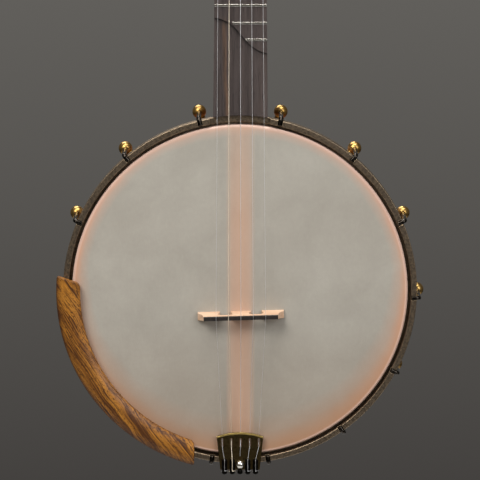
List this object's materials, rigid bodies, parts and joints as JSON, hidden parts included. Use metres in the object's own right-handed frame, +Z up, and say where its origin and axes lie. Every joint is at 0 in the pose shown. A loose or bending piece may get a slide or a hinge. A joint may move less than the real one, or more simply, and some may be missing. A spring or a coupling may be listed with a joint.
{
  "type": "open-back banjo",
  "caption": "Open-back banjo with bracketed tension hoop, film head on a wooden pot, scooped fingerboard, wooden armrest, footed bridge and geared tuners.",
  "frame": {"origin": "centre of the front of the head", "axes": "+Z up the neck, -Y out of the front of the head towards the player's audience, +X to the treble side; stored upright with the peghead at the top"},
  "size_m": [0.3382, 0.1018, 0.9357],
  "materials": {
    "film": "translucent, lightly mottled",
    "walnut": "satin oiled",
    "walnut_neck": "satin oiled",
    "ebony": "satin",
    "fingerboard_wood": "satin",
    "maple": "bare, sanded",
    "pale_wood": "satin oiled",
    "bocote": "polished",
    "hoop_brass": "aged, dark",
    "aged_brass": "aged, polished on the high spots",
    "dark_brass": "aged, dark",
    "tail_brass": "aged, dark",
    "nickel": "polished",
    "steel": "satin",
    "string_steel": "drawn wire",
    "string_bronze": "round wound",
    "bone": "polished bone",
    "pearl": "polished",
    "knob_ivory": "polished ivoroid"
  },
  "bodies": {
    "banjo": {"head": "film", "head_collar": "film", "tone_ring": "aged_brass", "rim": "walnut", "flesh_hoop": "hoop_brass", "tension_hoop": "hoop_brass", "bracket_hooks": "dark_brass", "bracket_shoes": "aged_brass", "bracket_nuts": "aged_brass", "shoe_washers": "aged_brass", "shoe_bolts": "aged_brass", "armrest": "bocote", "armrest_straps": "dark_brass", "armrest_screws": "steel", "tailpiece": "tail_brass", "tailpiece_hanger": "dark_brass", "tailpiece_nut": "nickel", "end_bolt": "aged_brass", "bridge_body": "maple", "bridge_cap": "ebony", "dowel_stick": "pale_wood", "neck_brace": "aged_brass", "neck_brace_screws": "steel", "neck": "walnut_neck", "heel_cap": "ebony", "fingerboard": "fingerboard_wood", "frets": "nickel", "string_nut": "bone", "fifth_string_pip": "bone", "side_dots": "pearl", "peghead_overlay": "ebony", "truss_rod": "steel", "truss_rod_cover": "ebony", "cover_screws": "aged_brass", "tuner_ferrules": "aged_brass", "tuner_housings": "aged_brass", "tuner_back_plates": "aged_brass", "fifth_tuner_housing": "aged_brass", "fifth_tuner_back_plate": "aged_brass", "string_1": "string_steel", "string_2": "string_steel", "string_3": "string_steel", "string_4": "string_bronze", "string_5": "string_steel"},
    "post_1": {"tuner_post_1": "aged_brass"},
    "knob_1": {"tuner_knob_1": "knob_ivory", "knob_screw_1": "aged_brass"},
    "post_2": {"tuner_post_2": "aged_brass"},
    "knob_2": {"tuner_knob_2": "knob_ivory", "knob_screw_2": "aged_brass"},
    "post_3": {"tuner_post_3": "aged_brass"},
    "knob_3": {"tuner_knob_3": "knob_ivory", "knob_screw_3": "aged_brass"},
    "post_4": {"tuner_post_4": "aged_brass"},
    "knob_4": {"tuner_knob_4": "knob_ivory", "knob_screw_4": "aged_brass"},
    "fifth_post": {"fifth_tuner_post": "aged_brass"},
    "fifth_knob": {"fifth_tuner_knob": "knob_ivory", "fifth_knob_screw": "aged_brass"}
  },
  "joints": [
    {"name": "post_1_turn", "type": "hinge", "parent": "banjo", "child": "post_1", "pos_m": [0.0222, 0.02329, 0.66185], "axis": [0, 0.9744, -0.225], "continuous": true},
    {"name": "knob_1_turn", "type": "hinge", "parent": "banjo", "child": "knob_1", "pos_m": [0.0222, 0.05641, 0.6542], "axis": [0, 0.9744, -0.225], "continuous": true},
    {"name": "post_2_turn", "type": "hinge", "parent": "banjo", "child": "post_2", "pos_m": [0.0222, 0.03453, 0.71057], "axis": [0, 0.9744, -0.225], "continuous": true},
    {"name": "knob_2_turn", "type": "hinge", "parent": "banjo", "child": "knob_2", "pos_m": [0.0222, 0.06766, 0.70292], "axis": [0, 0.9744, -0.225], "continuous": true},
    {"name": "post_3_turn", "type": "hinge", "parent": "banjo", "child": "post_3", "pos_m": [-0.0138, 0.03453, 0.71057], "axis": [0, 0.9744, -0.225], "continuous": true},
    {"name": "knob_3_turn", "type": "hinge", "parent": "banjo", "child": "knob_3", "pos_m": [-0.0138, 0.06766, 0.70292], "axis": [0, 0.9744, -0.225], "continuous": true},
    {"name": "post_4_turn", "type": "hinge", "parent": "banjo", "child": "post_4", "pos_m": [-0.0138, 0.02329, 0.66185], "axis": [0, 0.9744, -0.225], "continuous": true},
    {"name": "knob_4_turn", "type": "hinge", "parent": "banjo", "child": "knob_4", "pos_m": [-0.0138, 0.05641, 0.6542], "axis": [0, 0.9744, -0.225], "continuous": true},
    {"name": "fifth_post_turn", "type": "hinge", "parent": "banjo", "child": "fifth_post", "pos_m": [-0.02101, 0.01547, 0.47071], "axis": [-1, 0, 0], "continuous": true},
    {"name": "fifth_knob_turn", "type": "hinge", "parent": "banjo", "child": "fifth_knob", "pos_m": [-0.05101, 0.01547, 0.47071], "axis": [-1, 0, 0], "continuous": true}
  ],
  "couplings": [
    {"joint": "post_1_turn", "follows": "knob_1_turn", "ratio": 0.25},
    {"joint": "post_2_turn", "follows": "knob_2_turn", "ratio": 0.25},
    {"joint": "post_3_turn", "follows": "knob_3_turn", "ratio": 0.25},
    {"joint": "post_4_turn", "follows": "knob_4_turn", "ratio": 0.25},
    {"joint": "fifth_post_turn", "follows": "fifth_knob_turn", "ratio": 0.25}
  ]
}
